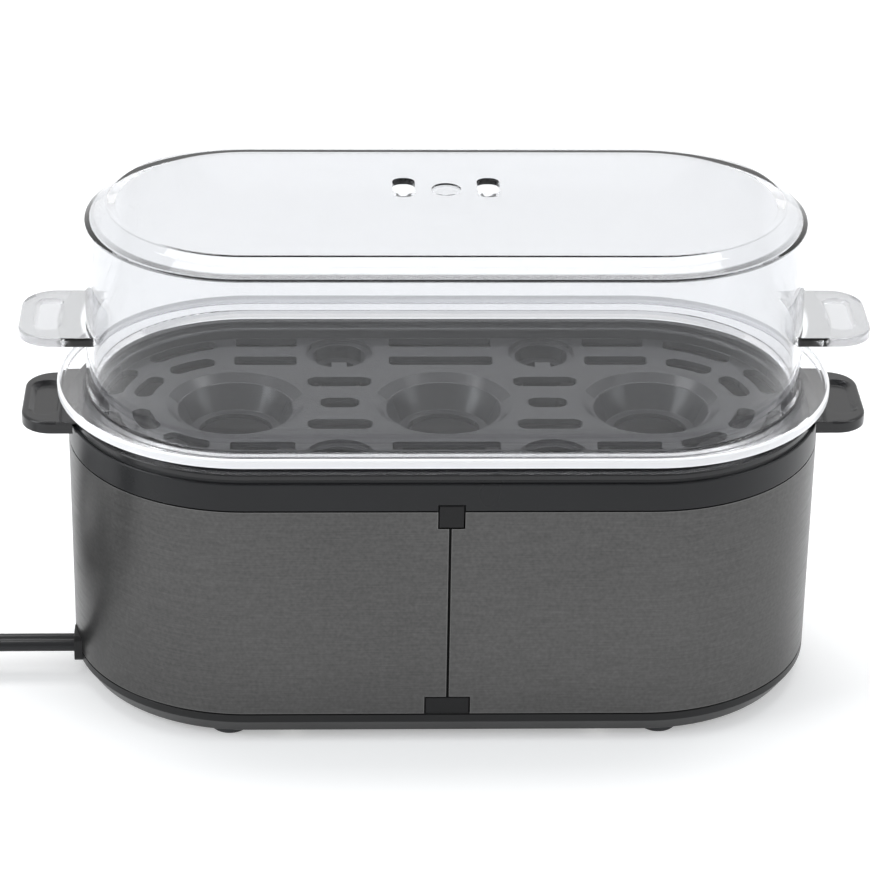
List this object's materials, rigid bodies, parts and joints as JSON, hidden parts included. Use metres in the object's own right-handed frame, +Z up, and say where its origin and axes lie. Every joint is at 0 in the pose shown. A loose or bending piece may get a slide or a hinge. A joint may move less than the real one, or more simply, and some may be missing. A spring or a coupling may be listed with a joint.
{
  "type": "electric egg cooker",
  "caption": "Oblong countertop egg steamer with brushed sleeve, heated water dish, lift-out egg rack with end tabs, clear lift-off cover, rocker switch and coiled mains lead.",
  "frame": {"origin": "on the table under the middle of the body, at the underside of the feet", "axes": "+Z up, +X to the right of the side with the sleeve's seam, -Y towards that side, +Y towards the switch side"},
  "size_m": [0.3931, 0.1519, 0.1505],
  "materials": {
    "dark_sleeve_steel": "brushed, dark tinted",
    "body_plastic": "fine satin",
    "rack_plastic": "satin",
    "clear_cover": "clear, polished moulded plastic",
    "dish_metal": "satin",
    "seal_rubber": "matt",
    "foot_rubber": "matt",
    "fastener_steel": "zinc plated",
    "heater_steel": "drawn tube",
    "bracket_steel": "pressed sheet",
    "control_plastic": "gloss",
    "lens_red": "translucent, gloss",
    "lamp_glass": "gloss",
    "insulator_ceramic": "matt",
    "cord_jacket": "satin",
    "wire_jacket": "satin",
    "tie_plastic": "satin",
    "plug_plastic": "satin",
    "contact_metal": "plated"
  },
  "bodies": {
    "base": {"base_shell": "body_plastic", "rubber_feet": "foot_rubber", "base_screws": "fastener_steel", "outer_sleeve": "dark_sleeve_steel", "seam_clip_upper": "body_plastic", "seam_clip_lower": "body_plastic", "upper_collar": "body_plastic", "dish_gasket": "seal_rubber", "heating_dish": "dish_metal", "heating_element": "heater_steel", "element_clamps": "bracket_steel", "thermostat_strap": "bracket_steel", "thermostat": "insulator_ceramic", "stud_nuts": "fastener_steel", "heat_shield": "bracket_steel", "thermal_fuse": "contact_metal", "front_bezel": "control_plastic", "switch_housing": "body_plastic", "indicator_lens": "lens_red", "indicator_lamp": "lamp_glass", "cord_bush": "body_plastic", "cord_sheath": "cord_jacket", "cord_clamp": "body_plastic", "clamp_screws": "fastener_steel", "terminal_block": "insulator_ceramic", "wiring_harness": "wire_jacket", "power_cord": "cord_jacket", "cord_coil": "cord_jacket", "cord_end": "cord_jacket", "cord_tie": "tie_plastic", "mains_plug": "plug_plastic", "plug_pins": "contact_metal"},
    "rack": {"egg_rack": "rack_plastic"},
    "lid": {"lid": "clear_cover"},
    "rocker": {"switch_rocker": "control_plastic"}
  },
  "joints": [
    {"name": "rack_lift", "type": "slide", "parent": "base", "child": "rack", "axis": [0, 0, 1], "range_m": [0, 0.09]},
    {"name": "lid_lift", "type": "slide", "parent": "rack", "child": "lid", "axis": [0, 0, 1], "range_m": [0, 0.12]},
    {"name": "rocker_tilt", "type": "hinge", "parent": "base", "child": "rocker", "pos_m": [-0.0065, 0.0472, 0.044], "axis": [1, 0, 0], "range_deg": [0, 14]}
  ]
}
